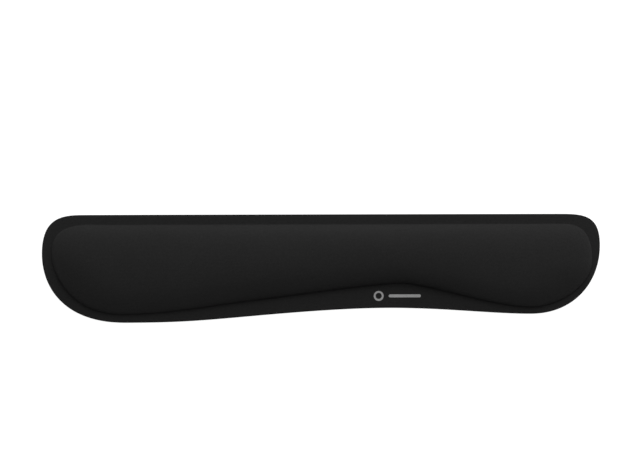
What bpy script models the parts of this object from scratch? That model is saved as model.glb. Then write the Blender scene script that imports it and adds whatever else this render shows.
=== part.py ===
"""Keyboard wrist rest: a memory-foam pillow under a stretch-knit cover, on an anti-slip base sheet.

Metres, +Z up. The desk is Z = 0. +X runs along the keyboard, and +Y points at the keyboard, so the
straight back edge is the +Y one and the arms come in over the wavy front edge. The origin is on the
desk, at the middle of the outline's box.
"""

from math import cos, pi, radians, sin

import bmesh
import bpy
from mathutils import Vector
from mathutils.geometry import interpolate_bezier

MM = 0.001

# ---- Driving dimensions -------------------------------------------------------------------------

HEIGHT = 21 * MM  # over all; the outlines below set the length and the depth

BASE_THICKNESS = 2.0 * MM
FILM_THICKNESS = 0.2 * MM
COVER_THICKNESS = 0.8 * MM
PRINT_THICKNESS = 0.1 * MM

LAYER_GAP = 0.05 * MM  # between two flat layers
FOAM_GAP = 0.3 * MM  # between the foam and the cover over it

# An outline is a closed Bezier curve. Each anchor holds x, y, the direction of travel in degrees,
# and the lengths of the handles before and after it, all in millimetres. Both outlines run
# anticlockwise from the left end of the back edge, with their anchors in the same order, so that
# the flange is lofted straight from one to the other. The pillow's outline is the line where the
# cover's outer surface rises from the flange.
BASE_OUTLINE = (
    (-189.5, 43.5, 180, 30.0, 17.0),  # back edge, left end
    (-225.0, 12.0, 270, 31.5, 25.5),  # left end
    (-158.0, -43.5, 0, 50.5, 42.0),  # left lobe
    (-57.5, -38.5, 5, 41.5, 39.0),  # rising to the waist
    (55.0, -32.0, 0, 33.0, 44.5),  # waist
    (169.5, -37.0, 0, 31.0, 33.0),  # right lobe
    (225.0, 18.5, 90, 32.0, 24.5),  # right end
    (192.0, 43.5, 180, 19.5, 30.0),  # back edge, right end
)
PILLOW_OUTLINE = (
    (-176.0, 35.3, 180, 32.0, 14.0),
    (-217.0, 13.0, 270, 25.5, 15.5),
    (-160.0, -36.5, 0, 43.5, 39.0),
    (-50.5, -25.0, 7, 45.5, 41.0),
    (66.0, -11.8, 0, 20.0, 18.0),
    (171.0, -31.2, 2, 28.0, 24.0),
    (218.5, 6.0, 90, 18.0, 18.0),
    (195.5, 35.3, 180, 17.5, 29.0),
)
CURVE_STEPS = 12  # straight pieces in each stretch between two anchors

# The pillow's cross-section is a superellipse, 1 - (1 - t) ** CROWN to the power of SHOULDER, where
# t is 0 at the foot and 1 on the ridge. The ridge follows the pillow's mid-line and is shorter than
# the pillow. The top is closed flat inside the last step, where the section is nearly level.
CROWN = 2.7
SHOULDER = 0.6
DOME_STEPS = (0.0, 0.012, 0.04, 0.09, 0.17, 0.29, 0.45, 0.65, 0.88)
RIDGE_SHARE = 0.80

# The printed mark, on the front flange at the waist: a ring, then a bar with round ends.
MARK_CENTRE = (61.5 * MM, -22.3 * MM)
MARK_LENGTH = 38 * MM
RING_DIAMETER = 8 * MM
RING_WIDTH = 1.5 * MM
BAR_LENGTH = 26 * MM
BAR_DEPTH = 2.4 * MM
RING_STEPS = 48
BAR_END_STEPS = 12

# ---- Levels, worked out from the dimensions above -----------------------------------------------

FILM_BOTTOM = BASE_THICKNESS + LAYER_GAP
FOAM_BOTTOM = FILM_BOTTOM + FILM_THICKNESS + LAYER_GAP
FLANGE_TOP = FOAM_BOTTOM + COVER_THICKNESS
PRINT_BOTTOM = FLANGE_TOP + LAYER_GAP
DOME_HEIGHT = HEIGHT - FLANGE_TOP

# Principled colour (linear) and roughness of each piece. None is metallic.
FINISHES = {
    "base_sheet": ((0.012, 0.012, 0.013), 0.75),
    "adhesive_film": ((0.030, 0.028, 0.026), 0.40),
    "foam_core": ((0.42, 0.42, 0.40), 0.95),
    "cover_fabric": ((0.010, 0.010, 0.011), 0.85),
    "mark_ring": ((0.24, 0.24, 0.25), 0.50),
    "mark_bar": ((0.24, 0.24, 0.25), 0.50),
}

# ---- Scene --------------------------------------------------------------------------------------

for old in list(bpy.data.objects):
    bpy.data.objects.remove(old, do_unlink=True)

collection = bpy.data.collections.new("wrist_rest")
bpy.context.scene.collection.children.link(collection)
frame = bpy.data.objects.new("wrist_rest_frame", None)
collection.objects.link(frame)


def finish_of(name):
    colour, roughness = FINISHES[name]
    material = bpy.data.materials.new(name)
    material.use_nodes = True
    shader = material.node_tree.nodes["Principled BSDF"]
    shader.inputs["Base Color"].default_value = (*colour, 1)
    shader.inputs["Roughness"].default_value = roughness
    shader.inputs["Metallic"].default_value = 0
    material.diffuse_color = (*colour, 1)
    return material


def add_part(name, data):
    part = bpy.data.objects.new(name, data)
    data.materials.append(finish_of(name))
    part.parent = frame
    collection.objects.link(part)
    return part


# ---- Outlines and rings -------------------------------------------------------------------------


def knot(anchor):
    """An anchor's handle before it, its point, and its handle after it, in metres."""
    x, y, degrees, before, after = anchor
    point = Vector((x, y, 0)) * MM
    travel = Vector((cos(radians(degrees)), sin(radians(degrees)), 0)) * MM
    return point - travel * before, point, point + travel * after


def sampled(outline):
    """The outline as a closed ring of points."""
    ring = []
    for index, anchor in enumerate(outline):
        _, start, leaving = knot(anchor)
        arriving, end, _ = knot(outline[(index + 1) % len(outline)])
        ring += interpolate_bezier(start, leaving, arriving, end, CURVE_STEPS + 1)[:-1]
    return ring


def inset(ring, distance):
    """The ring moved inwards by a small distance."""
    moved = []
    for index, point in enumerate(ring):
        travel = ring[(index + 1) % len(ring)] - ring[index - 1]
        inward = Vector((-travel.y, travel.x, 0)).normalized()
        moved.append(point + inward * distance)
    return moved


def mid_line(ring, x):
    """The Y halfway between the ring's back and its front at this X."""
    crossings = []
    for index, point in enumerate(ring):
        before = ring[index - 1]
        if before.x != point.x and min(before.x, point.x) <= x <= max(before.x, point.x):
            share = (x - before.x) / (point.x - before.x)
            crossings.append(before.y + share * (point.y - before.y))
    return (min(crossings) + max(crossings)) / 2


def section(t):
    return (1 - (1 - t) ** CROWN) ** SHOULDER


def dome(foot, bottom, height):
    """Rings that climb from the foot line and close in on the ridge."""
    ridge = [Vector((x, mid_line(foot, x), 0)) for x in (point.x * RIDGE_SHARE for point in foot)]
    rings = []
    for t in DOME_STEPS:
        level = Vector((0, 0, bottom + height * section(t) / section(DOME_STEPS[-1])))
        rings.append([start.lerp(end, t) + level for start, end in zip(foot, ridge)])
    return rings


# ---- Ways to make a piece -----------------------------------------------------------------------


def add_plate(name, bottom, thickness):
    """A 2D curve, still empty, that fills to a flat plate of this thickness."""
    curve = bpy.data.curves.new(name, "CURVE")
    curve.dimensions = "2D"
    curve.fill_mode = "BOTH"
    curve.extrude = thickness / 2
    curve.resolution_u = CURVE_STEPS
    plate = add_part(name, curve)
    plate.location.z = bottom + thickness / 2
    return plate


def add_bezier(plate, outline):
    spline = plate.data.splines.new("BEZIER")
    spline.bezier_points.add(len(outline) - 1)
    spline.use_cyclic_u = True
    for corner, anchor in zip(spline.bezier_points, outline):
        corner.handle_left_type = "FREE"
        corner.handle_right_type = "FREE"
        corner.handle_left, corner.co, corner.handle_right = knot(anchor)


def add_polygon(plate, points):
    spline = plate.data.splines.new("POLY")
    spline.points.add(len(points) - 1)
    spline.use_cyclic_u = True
    for corner, (x, y) in zip(spline.points, points):
        corner.co = (x, y, 0, 1)


def add_loft(name, rings, closed_foot):
    """Quads from each ring to the next, with the last ring filled, and the first if asked."""
    work = bmesh.new()
    rows = [[work.verts.new(point) for point in ring] for ring in rings]
    for lower, upper in zip(rows, rows[1:]):
        for index in range(len(lower)):
            work.faces.new((lower[index - 1], lower[index], upper[index], upper[index - 1]))
    caps = [work.faces.new(rows[-1])]
    if closed_foot:
        caps.append(work.faces.new(reversed(rows[0])))
    bmesh.ops.triangulate(work, faces=caps)
    mesh = bpy.data.meshes.new(name)
    work.to_mesh(mesh)
    work.free()
    mesh.shade_smooth()
    return add_part(name, mesh)


# ---- Pieces, from the desk up -------------------------------------------------------------------


def make_base_sheet():
    add_bezier(add_plate("base_sheet", 0, BASE_THICKNESS), BASE_OUTLINE)


def make_adhesive_film():
    add_bezier(add_plate("adhesive_film", FILM_BOTTOM, FILM_THICKNESS), BASE_OUTLINE)


def make_foam_core():
    """A domed loaf with a flat foot."""
    foot = inset(sampled(PILLOW_OUTLINE), COVER_THICKNESS + FOAM_GAP)
    add_loft("foam_core", dome(foot, FOAM_BOTTOM, DOME_HEIGHT - FOAM_GAP), closed_foot=True)


def make_cover_fabric():
    """One sheet, flat on the flange and domed over the pillow, thickened away from the foam."""
    edge = [point + Vector((0, 0, FOAM_BOTTOM)) for point in sampled(BASE_OUTLINE)]
    foot = inset(sampled(PILLOW_OUTLINE), COVER_THICKNESS)
    rings = [edge] + dome(foot, FOAM_BOTTOM, DOME_HEIGHT)
    cover = add_loft("cover_fabric", rings, closed_foot=False)
    shell = cover.modifiers.new("fabric thickness", "SOLIDIFY")
    shell.thickness = COVER_THICKNESS
    shell.offset = 1
    shell.use_even_offset = True


def make_mark_ring():
    ring = add_plate("mark_ring", PRINT_BOTTOM, PRINT_THICKNESS)
    outer = RING_DIAMETER / 2
    for radius in (outer, outer - RING_WIDTH):
        turns = (2 * pi * step / RING_STEPS for step in range(RING_STEPS))
        add_polygon(ring, [(radius * cos(turn), radius * sin(turn)) for turn in turns])
    ring.location.x = MARK_CENTRE[0] - MARK_LENGTH / 2 + outer
    ring.location.y = MARK_CENTRE[1]


def make_mark_bar():
    bar = add_plate("mark_bar", PRINT_BOTTOM, PRINT_THICKNESS)
    radius = BAR_DEPTH / 2
    reach = BAR_LENGTH / 2 - radius
    points = []
    for side in (1, -1):
        for step in range(BAR_END_STEPS + 1):
            turn = pi * step / BAR_END_STEPS - pi / 2
            points.append((side * (reach + radius * cos(turn)), side * radius * sin(turn)))
    add_polygon(bar, points)
    bar.location.x = MARK_CENTRE[0] + MARK_LENGTH / 2 - BAR_LENGTH / 2
    bar.location.y = MARK_CENTRE[1]


make_base_sheet()
make_adhesive_film()
make_foam_core()
make_cover_fabric()
make_mark_ring()
make_mark_bar()
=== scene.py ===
"""Wrist rest: the finished look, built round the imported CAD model.

The knit cover, the foam pillow under it and the rubber base are modelled here, from the outlines of
their CAD solids. The adhesive film and the printed mark keep their CAD shapes and get materials.
Metres, +Z up: +X runs along the keyboard, +Y points at it.
"""

from math import cos, pi, radians, sin

import bmesh
import bpy
import numpy as np
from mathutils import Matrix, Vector
from mathutils.geometry import delaunay_2d_cdt
from mathutils.kdtree import KDTree


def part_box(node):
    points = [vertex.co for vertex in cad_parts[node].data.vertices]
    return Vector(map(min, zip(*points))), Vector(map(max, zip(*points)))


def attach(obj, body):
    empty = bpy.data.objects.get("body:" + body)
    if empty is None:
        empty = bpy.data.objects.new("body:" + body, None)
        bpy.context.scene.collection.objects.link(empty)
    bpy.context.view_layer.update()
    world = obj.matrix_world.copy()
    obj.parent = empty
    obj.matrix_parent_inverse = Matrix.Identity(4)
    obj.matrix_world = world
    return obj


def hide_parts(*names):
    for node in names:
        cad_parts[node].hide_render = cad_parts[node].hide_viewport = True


MM = 0.001
SAME_PLACE = 0.001 * MM  # points nearer than this are one
LEAST_LENGTH = 1e-9  # stands in for a length of 0 that something is divided by

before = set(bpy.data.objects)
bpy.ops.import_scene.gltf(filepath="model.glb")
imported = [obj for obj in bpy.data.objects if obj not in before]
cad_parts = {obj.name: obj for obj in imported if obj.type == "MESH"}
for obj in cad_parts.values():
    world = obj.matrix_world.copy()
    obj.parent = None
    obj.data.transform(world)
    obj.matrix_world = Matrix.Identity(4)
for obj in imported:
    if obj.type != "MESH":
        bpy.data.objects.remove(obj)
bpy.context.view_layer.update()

# ---- Levels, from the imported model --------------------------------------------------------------

PRINT_GAP = 0.05 * MM  # between the knit and the print over it
BASE_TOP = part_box("base_sheet")[1].z
COVER_BOTTOM, COVER_TOP = (corner.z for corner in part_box("cover_fabric"))
FLANGE_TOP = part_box("mark_ring")[0].z - PRINT_GAP
KNIT_THICKNESS = FLANGE_TOP - COVER_BOTTOM
FOAM_BOTTOM, FOAM_TOP = (corner.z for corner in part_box("foam_core"))
SKIN_OVER_FOAM = COVER_TOP - FOAM_TOP  # from the foam to the cover's outer face

# ---- Sizes of what is modelled here -------------------------------------------------------------

# The pillow's cross-section is the same superellipse as the CAD solid's.
CROWN = 2.7  # higher is flatter on top
SHOULDER = 0.6  # lower is steeper at the foot
RIDGE_SHARE = 0.80  # of the pillow's length

# Points that a smoothed outline gets from one of its corners to the next.
EDGE_STEPS = 40
FOAM_STEPS = 4
FOOT_STEPS = 10
TREAD_STEPS = 4

STATIONS = 160  # columns from the left end to the right end, on each side
DOME_ROWS = 26
FILLET_RADIUS = 0.5 * MM  # where the cover rises from the flange
FILLET_ROWS = 5
FLANGE_ROWS = 5
CUT_ROUND = 0.5 * MM  # the knit's cut edge is rounded by the press
CUT_ROWS = 3

SIM_CELL = 4 * MM  # the simulated cover's mesh
SIM_PRESSURE = 4
SIM_FRAMES = 20
SIM_NEIGHBOURS = 12  # cloth points that move one point of the cover
SIM_REACH = 1.2 * MM  # how far a point may move

RIM_WIDTH = 2.2 * MM  # plain border round the tread
RIM_CHAMFER = 0.2 * MM
TREAD_DEPTH = 0.35 * MM
TREAD_PITCH = 3.6 * MM
PAD_SIDES = 6
PAD_RADIUS = 1.62 * MM  # of a tread pad's foot, corner to centre
PAD_DRAFT = 0.18 * MM  # the pad's top is this much smaller
SHARP_ANGLE = 30  # degrees; the rubber's edges over this are sharp

# ---- Finishes -----------------------------------------------------------------------------------

FABRIC_XY = "fabric_xy"  # the mesh attribute that the knit's pattern follows
WALE_WIDTH = 1.1 * MM  # a column of stitches
COURSE_HEIGHT = 0.85 * MM  # a row of stitches
KNIT_COLOUR = (0.0155, 0.0155, 0.0155)
KNIT_FUZZ = 0.0235  # sheen weight
CUT_EDGE_PAINTED_SHADE = 0.3  # painted shade: the cut edge is painted darker, from where it starts to turn down
PRESSED_SHADE = 0.97  # the flange's knit is pressed flat, and a little darker
PRINT_COLOUR = (0.29, 0.29, 0.29)
RUBBER_COLOUR = (0.013, 0.013, 0.014)
FILM_COLOUR = (0.020, 0.018, 0.016)
FOAM_COLOUR = (0.42, 0.41, 0.37)

# ---- Floor, lights and camera -------------------------------------------------------------------

FLOOR_SIZE = 40  # metres
FLOOR_GAP = 0.02 * MM  # under the object
FLOOR_SHADE = 0.2  # how much of the light it throws back
FLOOR_GLOW = 0.96  # its own light
WORLD_LIGHT = 0.235
SOFTBOX_DISTANCE = 1.4  # metres
SOFTBOXES = (  # name, elevation and azimuth in degrees, size in metres, power in watts
    ("low", 25, 10, (1.2, 0.6), 8.7),
    ("side", 25, 50, (0.6, 0.6), 2.6),
    ("high", 60, 10, (1.2, 0.8), 15.7),
)
CAMERA_PLACE = (-3.5 * MM, 24.9 * MM, 1207.7 * MM)
CAMERA_TURN = -0.14  # degrees
LENS = 85  # millimetres, on a frame of SENSOR_WIDTH
SENSOR_WIDTH = 36


# ---- Outlines -----------------------------------------------------------------------------------


def foot_ring(node):
    """The outline of a node's lowest flat face, as an array of XY, anticlockwise from above."""
    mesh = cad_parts[node].data
    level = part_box(node)[0].z + SAME_PLACE
    edges = set()
    for face in mesh.polygons:
        corners = [mesh.vertices[index].co for index in face.vertices]
        if max(corner.z for corner in corners) < level:
            # Rounded to the micrometre, a place is the same from each face that has it.
            keys = [(round(corner.x, 6), round(corner.y, 6)) for corner in corners]
            edges.update(zip(keys, keys[1:] + keys[:1]))
    # The face looks down, so its border runs clockwise from above, and is followed backwards.
    onward = {end: start for start, end in edges if (end, start) not in edges}
    ring = [min(onward)]
    while onward[ring[-1]] != ring[0]:
        ring.append(onward[ring[-1]])
    return np.array(ring)


def lengths(vectors):
    return np.linalg.norm(vectors, axis=-1, keepdims=True)


def smoothed(ring, steps):
    """The ring as many points on one smooth closed curve through its corners. The slope at a corner
    leans to the side that bends less, as Akima's does, so a straight stretch stays straight."""
    least_bend = 1e-6
    after = np.roll(ring, -1, 0) - ring
    length = lengths(after)
    after = after / length
    before = np.roll(after, 1, 0)
    bend_after = lengths(np.roll(after, -1, 0) - after) + least_bend
    bend_before = lengths(before - np.roll(before, 1, 0)) + least_bend
    slope = (before * bend_after + after * bend_before) / (bend_after + bend_before)
    t = np.linspace(0, 1, steps, endpoint=False)[:, None]
    start, end = ring[:, None], np.roll(ring, -1, 0)[:, None]
    leaving = (slope * length)[:, None]
    arriving = (np.roll(slope, -1, 0) * length)[:, None]
    curve = (2 * t**3 - 3 * t**2 + 1) * start + (t**3 - 2 * t**2 + t) * leaving
    curve += (3 * t**2 - 2 * t**3) * end + (t**3 - t**2) * arriving
    return curve.reshape(-1, 2)


def grown(ring, distance):
    """The ring moved outwards."""
    travel = np.roll(ring, -1, 0) - np.roll(ring, 1, 0)
    outward = np.stack([travel[:, 1], -travel[:, 0]], -1)
    return ring + distance * outward / lengths(outward)


def front_and_back(ring, xs):
    """The ring's Y on its front side and on its back side at each X."""
    ring = np.roll(ring, -int(ring[:, 0].argmin()), 0)
    right = int(ring[:, 0].argmax())
    front = ring[: right + 1]
    back = np.concatenate([ring[right:], ring[:1]])[::-1]
    return np.interp(xs, *front.T), np.interp(xs, *back.T)


def row_of(ring):
    """The ring at the shared stations, closer together towards its ends: along the front from left
    to right, then along the back from right to left."""
    low, high = ring[:, 0].min(), ring[:, 0].max()
    xs = (low + high) / 2 - (high - low) / 2 * np.cos(np.linspace(0, pi, STATIONS + 1))
    front, back = front_and_back(ring, xs)
    there = np.stack([xs, front], -1)
    return np.concatenate([there, np.stack([xs, back], -1)[-2:0:-1]])


def ridge_of(ring, row):
    """The pillow's ridge line, halfway between its front and its back, with a point for each of the
    row's."""
    xs = row[:, 0] * RIDGE_SHARE
    return np.stack([xs, sum(front_and_back(ring, xs)) / 2], -1)


def at_height(row, height):
    return np.concatenate([row, np.full((len(row), 1), height)], -1)


def section(t):
    """The share of its height that the pillow has at t, which is 0 at the foot and 1 on the ridge."""
    return (1 - (1 - t) ** CROWN) ** SHOULDER


def dome_rows(foot, ridge, rise):
    """Rows up the pillow from its foot line to its ridge, closer together near the foot."""
    shares = np.linspace(0, 1, DOME_ROWS) ** 2
    rows = [at_height(foot + (ridge - foot) * t, FLANGE_TOP + rise * section(t)) for t in shares]
    return np.stack(rows)


# ---- Meshes -------------------------------------------------------------------------------------


def halved(grid):
    """The grid with a column put in between each column and the next, on the smooth curve through
    the two on either side of it."""
    middle = 9 * (grid + np.roll(grid, -1, 1)) - np.roll(grid, 1, 1) - np.roll(grid, -2, 1)
    return np.stack([grid, middle / 16], 2).reshape(len(grid), -1, grid.shape[-1])


def quads_of(grid, folded_rows):
    """(points, quads) of a grid whose columns close on themselves. On a folded row the front and the
    back are one line, so they share their points."""
    rows, columns = grid.shape[:2]
    index = np.arange(rows * columns).reshape(rows, columns)
    for row in folded_rows:
        index[row, columns // 2 + 1 :] = index[row, 1 : columns // 2][::-1]
    used, index = np.unique(index, return_inverse=True)
    index = index.reshape(rows, columns)
    after = np.roll(index, -1, 1)
    quads = np.stack([index[:-1], after[:-1], after[1:], index[1:]], -1).reshape(-1, 4)
    return grid.reshape(rows * columns, -1)[used], quads, index


def add_mesh(name, points, faces):
    mesh = bpy.data.meshes.new(name)
    mesh.from_pydata([tuple(p) for p in points], [], [tuple(map(int, face)) for face in faces])
    mesh.validate()
    work = bmesh.new()
    work.from_mesh(mesh)
    bmesh.ops.recalc_face_normals(work, faces=work.faces)
    work.to_mesh(mesh)
    work.free()
    mesh.shade_smooth()
    piece = bpy.data.objects.new(name, mesh)
    bpy.context.scene.collection.objects.link(piece)
    return piece


def normals_of(grid):
    """Outward normals at the points of a grid folded along its last row."""
    points, quads, index = quads_of(grid, folded_rows=[-1])
    piece = add_mesh("normals", points, quads)
    normals = np.array([vertex.normal for vertex in piece.data.vertices])[index]
    bpy.data.objects.remove(piece, do_unlink=True)
    return normals * np.sign(normals[:, :, 2].mean())


def blown_up(grid):
    """(places, moves) of the cloth's points, once the closed pillow has been remeshed evenly, sewn
    down round its foot and put under pressure."""
    points, quads, index = quads_of(grid, folded_rows=[-1])
    piece = add_mesh("cover_sim", points, list(quads) + [index[0][::-1]])
    remesh = piece.modifiers.new("even cells", "REMESH")
    remesh.mode = "VOXEL"
    remesh.voxel_size = SIM_CELL
    bpy.context.view_layer.objects.active = piece
    bpy.ops.object.modifier_apply(modifier=remesh.name)
    start = np.array([vertex.co for vertex in piece.data.vertices])
    held = piece.vertex_groups.new(name="held")
    sewn_down = np.flatnonzero(start[:, 2] < grid[0, 0, 2] + SIM_CELL / 2)
    held.add(sewn_down.tolist(), 1, "REPLACE")
    cloth = piece.modifiers.new("cloth", "CLOTH")
    cloth.settings.vertex_group_mass = held.name
    cloth.settings.use_pressure = True
    cloth.settings.uniform_pressure_force = SIM_PRESSURE
    cloth.settings.effector_weights.gravity = 0
    cloth.point_cache.frame_end = SIM_FRAMES
    for step in range(1, SIM_FRAMES + 1):
        bpy.context.scene.frame_set(step)
    settled = piece.evaluated_get(bpy.context.evaluated_depsgraph_get()).to_mesh()
    moved = np.array([vertex.co for vertex in settled.vertices]) - start
    bpy.data.objects.remove(piece, do_unlink=True)
    bpy.context.scene.frame_set(1)
    return start, moved


def swelling(grid):
    """How far each point of the pillow's cover moves as cloth under pressure settles over the foam.
    It moves as the cloth near it does."""
    start, moved = blown_up(grid)
    tree = KDTree(len(start))
    for number, point in enumerate(start):
        tree.insert(point, number)
    tree.balance()
    change = np.zeros_like(grid)
    for row, column in np.ndindex(grid.shape[:2]):
        near = tree.find_n(grid[row, column], SIM_NEIGHBOURS)
        weights = np.exp([-((distance / SIM_CELL) ** 2) / 2 for _, _, distance in near])
        change[row, column] = weights @ moved[[number for _, number, _ in near]] / weights.sum()
    return change * np.minimum(1, SIM_REACH / np.maximum(lengths(change), LEAST_LENGTH))


def pillow_dome(foot_curve):
    """The cover's outer face over the pillow, as rows from the foot line up to the ridge."""
    foot = row_of(foot_curve)
    rise = COVER_TOP - FLANGE_TOP
    dome = dome_rows(foot, ridge_of(foot_curve, foot), rise)
    dome += swelling(dome)
    stretch = rise / (dome[:, :, 2].max() - FLANGE_TOP)
    dome[:, :, 2] = FLANGE_TOP + (dome[:, :, 2] - FLANGE_TOP) * stretch
    # The rows below this are the fillet's.
    return dome[dome[:, :, 2].mean(1) > FLANGE_TOP + FILLET_RADIUS]


def laid_flat(outer):
    """Where each point of the cover lies when the fabric is unrolled outwards from the ridge, in XY.
    The knit's pattern follows this."""
    ridge = outer[-1, :, :2]
    steps = lengths(np.diff(outer, axis=0))
    along = np.concatenate([steps[::-1].cumsum(0)[::-1], np.zeros_like(steps[:1])])
    outward = outer[0, :, :2] - ridge
    return ridge + outward / np.maximum(lengths(outward), LEAST_LENGTH) * along


def make_knit_cover(edge_ring, foot_curve, dome):
    """The fabric as one closed skin, from the middle of its inner face out to its cut edge, and back
    over its flange and up the pillow."""
    foot, edge = row_of(foot_curve), row_of(edge_ring)
    outward = (edge - foot) / lengths(edge - foot)
    start = edge - outward * CUT_ROUND
    end = foot + outward * FILLET_RADIUS
    rows = []
    for share in np.linspace(0, 1, FLANGE_ROWS):
        rows.append(at_height(start + (end - start) * share, FLANGE_TOP))
    for turn in np.linspace(0, pi / 2, FILLET_ROWS + 1)[1:]:
        out = FILLET_RADIUS * (1 - sin(turn))
        rows.append(at_height(foot + outward * out, FLANGE_TOP + FILLET_RADIUS * (1 - cos(turn))))
    outer = np.concatenate([np.stack(rows), dome])
    inner = outer - normals_of(outer) * KNIT_THICKNESS
    inner[0] = at_height(edge, COVER_BOTTOM)
    cut = []
    for turn in np.linspace(0, pi / 2, CUT_ROWS + 1)[1:]:
        out = CUT_ROUND * (1 - sin(turn))
        cut.append(at_height(edge - outward * out, FLANGE_TOP - CUT_ROUND * (1 - cos(turn))))
    flat = laid_flat(outer)
    skin = np.concatenate([inner[::-1], np.stack(cut[::-1]), outer])
    skin_flat = np.concatenate([flat[::-1], np.repeat(flat[:1], CUT_ROWS, 0), flat])
    points, quads, _ = quads_of(halved(np.concatenate([skin, skin_flat], -1)), folded_rows=[0, -1])
    cover = add_mesh("knit_cover", points[:, :3], quads)
    fabric = cover.data.attributes.new(FABRIC_XY, "FLOAT_VECTOR", "POINT")
    fabric.data.foreach_set("vector", np.pad(points[:, 3:], ((0, 0), (0, 1))).ravel())
    return cover


def make_foam_pillow(foot_curve, dome):
    """The foam fills the cover, a little clear of it all over."""
    foot = at_height(row_of(grown(foot_curve, -SKIN_OVER_FOAM)), FOAM_BOTTOM)
    grid = np.concatenate([foot[None], dome - normals_of(dome) * SKIN_OVER_FOAM])
    points, quads, index = quads_of(grid, folded_rows=[-1])
    return add_mesh("foam_pillow", points, list(quads) + [index[0][::-1]])


def hexagon(centre, radius):
    """The corners of a tread pad, in XY."""
    turns = np.arange(PAD_SIDES) * 2 * pi / PAD_SIDES
    return centre + radius * np.stack([np.cos(turns), np.sin(turns)], -1)


def pad_centres(border):
    """Where the tread's hexagonal pads stand: every place of the lattice that is clear of the rim."""
    low, high = border.min(0), border.max(0)
    column = TREAD_PITCH * sin(pi / 3)
    centres = []
    for step in range(int((high[0] - low[0]) / column) + 1):
        ys = np.arange(low[1], high[1], TREAD_PITCH) + (step % 2) * TREAD_PITCH / 2
        centres += [(low[0] + step * column, y) for y in ys]
    centres = np.array(centres)
    front, back = front_and_back(border, centres[:, 0])
    centres = centres[(centres[:, 1] > front) & (centres[:, 1] < back)]
    gap = np.array([lengths(border - centre).min() for centre in centres])
    return centres[gap > PAD_RADIUS + PAD_DRAFT]


def base_shell(edge_ring):
    """(points, faces, border): the sheet's top, sides and rim, and the line round the tread, where
    it is still open."""
    edge = row_of(edge_ring)
    chamfered = row_of(grown(edge_ring, -RIM_CHAMFER))
    levels = [
        (chamfered, BASE_TOP),
        (edge, BASE_TOP - RIM_CHAMFER),
        (edge, RIM_CHAMFER),
        (chamfered, 0),
        (row_of(grown(edge_ring, -RIM_WIDTH)), 0),
        (row_of(grown(edge_ring, -RIM_WIDTH - PAD_DRAFT)), TREAD_DEPTH),
    ]
    grid = np.stack([at_height(row, height) for row, height in levels])
    points, quads, index = quads_of(grid, folded_rows=[])
    faces = [list(quad) for quad in quads] + [list(index[0])]
    return list(points), faces, grid[-1, :, :2]


def tread_floor(border, centres):
    """(points, triangles) of the floor between the border and the pads, with a hole under each pad.
    The border's points come first, then each pad's."""
    flat = [Vector(point) for point in border]
    edges = [(i, (i + 1) % len(flat)) for i in range(len(flat))]
    owner = {}
    for number, centre in enumerate(centres):
        first = len(flat)
        flat += [Vector(corner) for corner in hexagon(centre, PAD_RADIUS)]
        for corner in range(PAD_SIDES):
            owner[first + corner] = number
            edges.append((first + corner, first + (corner + 1) % PAD_SIDES))
    inside_only, merged_within = 1, 1e-7
    _, _, triangles, *_ = delaunay_2d_cdt(flat, edges, [], inside_only, merged_within)
    kept = []
    for triangle in triangles:
        owners = {owner.get(corner) for corner in triangle}
        if len(owners) > 1 or None in owners:
            kept.append(triangle)
    return flat, kept


def merge_doubles(mesh):
    """Joins the points that lie at one place, and turns every face outwards."""
    work = bmesh.new()
    work.from_mesh(mesh)
    bmesh.ops.remove_doubles(work, verts=work.verts, dist=SAME_PLACE)
    bmesh.ops.recalc_face_normals(work, faces=work.faces)
    work.to_mesh(mesh)
    work.free()


def make_rubber_base(edge_ring):
    """The sheet, with a moulded tread of hexagonal pads sunk into its underside within a plain rim."""
    points, faces, border = base_shell(edge_ring)
    centres = pad_centres(smoothed(border, TREAD_STEPS))
    floor, triangles = tread_floor(border, centres)
    start = len(points)
    points += [(point.x, point.y, TREAD_DEPTH) for point in floor]
    faces += [[start + corner for corner in triangle] for triangle in triangles]
    for number, centre in enumerate(centres):
        first = start + len(border) + PAD_SIDES * number
        foot = range(first, first + PAD_SIDES)
        top = range(len(points), len(points) + PAD_SIDES)
        points += [(x, y, 0) for x, y in hexagon(centre, PAD_RADIUS - PAD_DRAFT)]
        faces.append(list(top))
        for corner in range(PAD_SIDES):
            after = (corner + 1) % PAD_SIDES
            faces.append([foot[corner], foot[after], top[after], top[corner]])
    piece = add_mesh("rubber_base", points, faces)
    merge_doubles(piece.data)
    piece.data.set_sharp_from_angle(angle=radians(SHARP_ANGLE))
    return piece


# ---- Materials ----------------------------------------------------------------------------------


def new_material(name, colour, roughness, **settings):
    """A material with one Principled shader. Each setting is one of its inputs."""
    material = bpy.data.materials.new(name)
    material.use_nodes = True
    material.diffuse_color = (*colour, 1)
    shader = material.node_tree.nodes["Principled BSDF"]
    shader.inputs["Base Color"].default_value = (*colour, 1)
    shader.inputs["Roughness"].default_value = roughness
    for setting, value in settings.items():
        shader.inputs[setting.replace("_", " ")].default_value = value
    return material, material.node_tree, shader


def add_node(tree, kind, inputs, **settings):
    """A shader node. Each input gets a value, or the output that feeds it."""
    node = tree.nodes.new("ShaderNode" + kind)
    for setting, value in settings.items():
        setattr(node, setting, value)
    for socket, value in inputs.items():
        if isinstance(value, bpy.types.NodeSocket):
            tree.links.new(value, node.inputs[socket])
        else:
            node.inputs[socket].default_value = value
    return node


def maths(tree, operation, *values):
    return add_node(tree, "Math", dict(enumerate(values)), operation=operation).outputs[0]


def object_place(tree):
    return add_node(tree, "TexCoord", {}).outputs["Object"]


def parts_of(tree, vector):
    return add_node(tree, "SeparateXYZ", {0: vector}).outputs


def between(tree, value, start, end, low, high):
    """low where the value is at start or under it, high where it is at end or over it."""
    inputs = {"Value": value, "From Min": start, "From Max": end, "To Min": low, "To Max": high}
    return add_node(tree, "MapRange", inputs).outputs[0]


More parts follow.
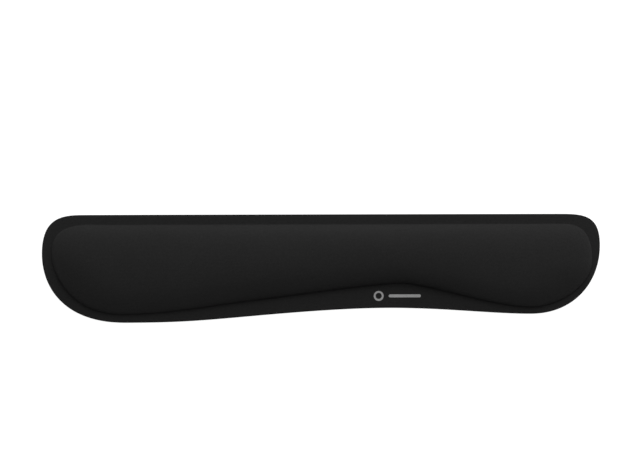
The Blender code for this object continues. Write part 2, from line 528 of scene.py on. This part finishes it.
def noise(tree, where, size, low=0, high=1, detail=2):
    """Soft blotches of about this size, from low to high."""
    usual_least, usual_most = 0.3, 0.7
    inputs = {"Vector": where, "Scale": 1 / size, "Detail": detail}
    blotches = add_node(tree, "TexNoise", inputs).outputs["Fac"]
    return between(tree, blotches, usual_least, usual_most, low, high)


def cells(tree, where, size):
    """The distance from the nearest of many scattered points this far apart: 0 at each point."""
    return add_node(tree, "TexVoronoi", {"Vector": where, "Scale": 1 / size}).outputs["Distance"]


def colour_by(tree, shader, *factors):
    """Multiplies the shader's colour by these factors."""
    colour = shader.inputs["Base Color"].default_value[:3]
    for factor in factors:
        scaled = {0: colour, "Scale": factor}
        colour = add_node(tree, "VectorMath", scaled, operation="SCALE").outputs[0]
    tree.links.new(colour, shader.inputs["Base Color"])


def raise_by(tree, shader, *reliefs):
    """Adds bumps to the shader, one over another: pairs of a height from 0 to 1 and its depth."""
    normal = None
    for height, depth in reliefs:
        inputs = {"Height": height, "Distance": depth, "Strength": 1}
        if normal:
            inputs["Normal"] = normal
        normal = add_node(tree, "Bump", inputs).outputs[0]
    tree.links.new(normal, shader.inputs["Normal"])


def knit_stitches(tree, where):
    """The height of the yarn, 0 to 1, in columns of V-shaped stitches that run along X."""
    x, y, _ = parts_of(tree, where)
    across = maths(tree, "FRACT", maths(tree, "DIVIDE", y, WALE_WIDTH))
    # 0 in the middle of a column and 1 at both its sides.
    aside = maths(tree, "ABSOLUTE", maths(tree, "MULTIPLY_ADD", across, 2, -1))
    leaning = maths(tree, "MULTIPLY", aside, 0.5)
    along = maths(tree, "ADD", maths(tree, "DIVIDE", x, COURSE_HEIGHT), leaning)
    wave = maths(tree, "SINE", maths(tree, "MULTIPLY", along, pi))
    strand = maths(tree, "MULTIPLY", wave, wave)
    ridge = maths(tree, "SUBTRACT", 1, maths(tree, "POWER", aside, 3))
    return maths(tree, "MULTIPLY", strand, ridge)


def wandering(tree, where, size, reach):
    """The place moved a little to and fro, so that rows drawn there aren't ruled straight."""
    inputs = {"Vector": where, "Scale": 1 / size, "Detail": 1}
    drift = add_node(tree, "TexNoise", inputs).outputs["Color"]
    inputs = {0: drift, 1: (-0.5, -0.5, -0.5)}
    drift = add_node(tree, "VectorMath", inputs, operation="ADD").outputs[0]
    inputs = {0: drift, 1: (2 * reach,) * 3, 2: where}
    return add_node(tree, "VectorMath", inputs, operation="MULTIPLY_ADD").outputs[0]


def make_knit():
    """Black stretch knit: fine stitches, uneven yarn, a trace of fuzz, and a flatter pressed flange."""
    material, tree, shader = new_material(
        "knit", KNIT_COLOUR, 0.9, Sheen_Weight=KNIT_FUZZ, Sheen_Roughness=0.6, Specular_IOR_Level=0
    )
    fabric = add_node(tree, "Attribute", {}, attribute_name=FABRIC_XY).outputs["Vector"]
    stitches = knit_stitches(tree, wandering(tree, fabric, 12 * MM, 0.25 * MM))
    height = parts_of(tree, object_place(tree))[2]
    pressed = between(
        tree, height, FLANGE_TOP + 0.2 * MM, FLANGE_TOP + 1.5 * MM, PRESSED_SHADE, 1
    )
    # Painted shade along the cut edge: the knit is darker wherever it lies below the flange's top.
    painted_edge_shade = between(
        tree, height, FLANGE_TOP - 0.07 * MM, FLANGE_TOP - 0.005 * MM, CUT_EDGE_PAINTED_SHADE, 1
    )
    yarn = between(tree, stitches, 0, 1, 0.84, 1.1)
    uneven_yarn = noise(tree, fabric, 1.6 * MM, 0.92, 1.08)
    uneven_dye = noise(tree, fabric, 45 * MM, 0.97, 1.03)
    colour_by(tree, shader, yarn, uneven_yarn, uneven_dye, pressed, painted_edge_shade)
    rough = noise(tree, fabric, 6 * MM, 0.82, 0.98)
    tree.links.new(rough, shader.inputs["Roughness"])
    raise_by(tree, shader, (noise(tree, fabric, 2.5 * MM), 0.03 * MM), (stitches, 0.08 * MM))
    return material


def make_print():
    """Grey transfer print, which takes on the knit's stitches and lets a little black through."""
    material, tree, shader = new_material("print", PRINT_COLOUR, 0.55, Specular_IOR_Level=0.3)
    place = object_place(tree)
    stitches = knit_stitches(tree, place)
    grooves = between(tree, stitches, 0, 0.5, 0.8, 1)
    thin_spots = between(tree, noise(tree, place, 0.9 * MM), 0, 0.5, 0.85, 1)
    uneven_ink = noise(tree, place, 5 * MM, 0.96, 1.04)
    colour_by(tree, shader, grooves, thin_spots, uneven_ink)
    rough = noise(tree, place, 2 * MM, 0.48, 0.66)
    tree.links.new(rough, shader.inputs["Roughness"])
    raise_by(tree, shader, (stitches, 0.03 * MM))
    return material


def make_rubber():
    """Moulded black rubber: fine grain, small pores, a dusty bloom, and tread tops scuffed paler."""
    material, tree, shader = new_material("rubber", RUBBER_COLOUR, 0.75, Specular_IOR_Level=0.3)
    place = object_place(tree)
    grain = noise(tree, place, 0.6 * MM, detail=4)
    pores = between(tree, cells(tree, place, 2.2 * MM), 0, 0.16, 0, 1)
    height = parts_of(tree, place)[2]
    scuffed = between(tree, height, 0.03 * MM, 0.1 * MM, 1.35, 1)
    bloom = noise(tree, place, 30 * MM, 0.85, 1.2)
    dust = noise(tree, place, 1.5 * MM, 0.9, 1.1)
    dark_pores = between(tree, pores, 0, 1, 0.7, 1)
    colour_by(tree, shader, scuffed, bloom, dust, dark_pores)
    rough = noise(tree, place, 8 * MM, 0.64, 0.88, detail=4)
    tree.links.new(rough, shader.inputs["Roughness"])
    raise_by(tree, shader, (grain, 0.04 * MM), (pores, 0.08 * MM))
    return material


def make_film():
    """The hot-melt film, of which only the edge shows: dark and satin, with small flow marks."""
    material, tree, shader = new_material("film", FILM_COLOUR, 0.5, Specular_IOR_Level=0.3)
    place = object_place(tree)
    flow_marks = noise(tree, place, 9 * MM, 0.8, 1.25)
    colour_by(tree, shader, flow_marks)
    rough = noise(tree, place, 3 * MM, 0.42, 0.62)
    tree.links.new(rough, shader.inputs["Roughness"])
    raise_by(tree, shader, (noise(tree, place, 2 * MM), 0.02 * MM))
    return material


def make_foam():
    """Off-white memory foam with open cells."""
    material, tree, shader = new_material("foam", FOAM_COLOUR, 0.95, Specular_IOR_Level=0.2)
    place = object_place(tree)
    bubbles = between(tree, cells(tree, place, 0.9 * MM), 0, 0.6, 0, 1)
    dark_cells = between(tree, bubbles, 0, 1, 0.75, 1.05)
    yellowing = noise(tree, place, 18 * MM, 0.93, 1.06)
    colour_by(tree, shader, dark_cells, yellowing)
    rough = noise(tree, place, 5 * MM, 0.9, 1)
    tree.links.new(rough, shader.inputs["Roughness"])
    raise_by(tree, shader, (bubbles, 0.15 * MM))
    return material


# ---- The object ---------------------------------------------------------------------------------


def put_in(piece, node, material):
    """The piece stands for a CAD node and gets its finish."""
    piece.data.materials.append(material)
    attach(piece, "root")
    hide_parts(node)


def make_object():
    edge_ring = smoothed(foot_ring("base_sheet"), EDGE_STEPS)
    foam_ring = smoothed(foot_ring("foam_core"), FOAM_STEPS)
    foot_curve = smoothed(grown(foam_ring, SKIN_OVER_FOAM), FOOT_STEPS)
    dome = pillow_dome(foot_curve)
    cover = make_knit_cover(edge_ring, foot_curve, dome)
    foam = make_foam_pillow(foot_curve, dome)
    put_in(cover, "cover_fabric", make_knit())
    put_in(foam, "foam_core", make_foam())
    put_in(make_rubber_base(edge_ring), "base_sheet", make_rubber())


def finish_cad_nodes():
    print_material = make_print()
    for name in ("mark_ring", "mark_bar"):
        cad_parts[name].material_slots[0].material = print_material
    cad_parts["adhesive_film"].material_slots[0].material = make_film()


# ---- Floor, lights and camera -------------------------------------------------------------------


def make_floor():
    """A white light table. Its glow keeps the floor white and the shadows faint."""
    bpy.ops.mesh.primitive_plane_add(size=FLOOR_SIZE, location=(0, 0, -FLOOR_GAP))
    floor = bpy.context.object
    floor.name = "floor"
    material, _, _ = new_material(
        "floor", (FLOOR_SHADE,) * 3, 1, Specular_IOR_Level=0, Emission_Strength=FLOOR_GLOW
    )
    floor.data.materials.append(material)


def make_world():
    """Even white light from all round. The camera sees it as pure white behind the floor's edge."""
    world = bpy.data.worlds.new("world")
    world.use_nodes = True
    tree = world.node_tree
    seen = add_node(tree, "LightPath", {}).outputs["Is Camera Ray"]
    strength = between(tree, seen, 0, 1, WORLD_LIGHT, 1)
    background = tree.nodes["Background"]
    background.inputs["Color"].default_value = (1, 1, 1, 1)
    tree.links.new(strength, background.inputs["Strength"])
    bpy.context.scene.world = world


def add_softbox(name, elevation, azimuth, size, power):
    """A lamp aimed at the origin. Its azimuth runs from +Y, behind the object, towards +X."""
    light = bpy.data.lights.new(name, "AREA")
    light.shape = "RECTANGLE"
    light.size, light.size_y = size
    light.energy = power
    lamp = bpy.data.objects.new(name, light)
    level, round_z = radians(elevation), radians(azimuth)
    towards = Vector((sin(round_z) * cos(level), cos(round_z) * cos(level), sin(level)))
    lamp.location = towards * SOFTBOX_DISTANCE
    lamp.rotation_euler = towards.to_track_quat("Z", "Y").to_euler()
    lamp.visible_camera = False
    bpy.context.scene.collection.objects.link(lamp)


def make_camera():
    """Straight above the object, with its top towards +Y."""
    data = bpy.data.cameras.new("camera")
    data.sensor_width = SENSOR_WIDTH
    data.lens = LENS
    camera = bpy.data.objects.new("camera", data)
    camera.location = CAMERA_PLACE
    camera.rotation_euler = (0, 0, radians(CAMERA_TURN))
    bpy.context.scene.collection.objects.link(camera)
    bpy.context.scene.camera = camera


make_object()
finish_cad_nodes()
make_floor()
make_world()
for softbox in SOFTBOXES:
    add_softbox(*softbox)
make_camera()
bpy.context.scene.view_settings.view_transform = "Standard"
